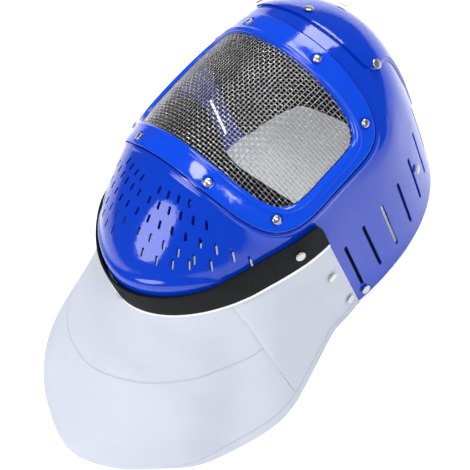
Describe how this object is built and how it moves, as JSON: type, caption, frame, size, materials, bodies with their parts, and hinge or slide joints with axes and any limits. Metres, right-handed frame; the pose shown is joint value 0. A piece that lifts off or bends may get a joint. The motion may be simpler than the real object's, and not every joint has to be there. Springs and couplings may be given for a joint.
{
  "type": "fencing mask",
  "caption": "Moulded fencing mask with a bolted wire-mesh window, slotted cheeks, riveted crown plate and cloth throat bib.",
  "frame": {"origin": "centre of the rear rim, in the plane that the head goes in through", "axes": "+X towards the wearer's left, +Y towards the crown, +Z out of the face; the mask lies on its rear rim"},
  "size_m": [0.2536, 0.4258, 0.2032],
  "materials": {
    "shell_plastic": "glossy moulded deep blue plastic",
    "bezel_plastic": "glossy moulded blue plastic, a separate frame",
    "wire": "woven bright steel wire",
    "webbing": "black ribbed webbing",
    "cloth": "cool white woven cloth, double stitched hem",
    "foam": "black foam lining",
    "nickel": "nickel-plated steel, domed heads"
  },
  "bodies": {
    "root": {"face_shell": "shell_plastic", "wire_mesh": "wire", "window_bezel": "bezel_plastic", "crown_plate": "shell_plastic", "chin_band": "webbing", "bib_front": "cloth", "bib_side_left": "cloth", "bib_side_right": "cloth", "brow_pad": "foam", "jaw_pad": "foam", "bezel_screw_1": "nickel", "bezel_screw_2": "nickel", "bezel_screw_3": "nickel", "bezel_screw_4": "nickel", "bezel_screw_5": "nickel", "bezel_screw_6": "nickel", "bezel_screw_7": "nickel", "bezel_screw_8": "nickel", "crown_rivet_front": "nickel", "crown_rivet_rear": "nickel", "crown_rivet_left": "nickel", "crown_rivet_right": "nickel", "band_rivet_front": "nickel", "band_rivet_left": "nickel", "band_rivet_right": "nickel", "bib_rivet_upper_left": "nickel", "bib_rivet_lower_left": "nickel", "bib_rivet_upper_right": "nickel", "bib_rivet_lower_right": "nickel", "shell_rivet_front_left": "nickel", "shell_rivet_rear_left": "nickel", "shell_rivet_front_right": "nickel", "shell_rivet_rear_right": "nickel"}
  },
  "joints": []
}
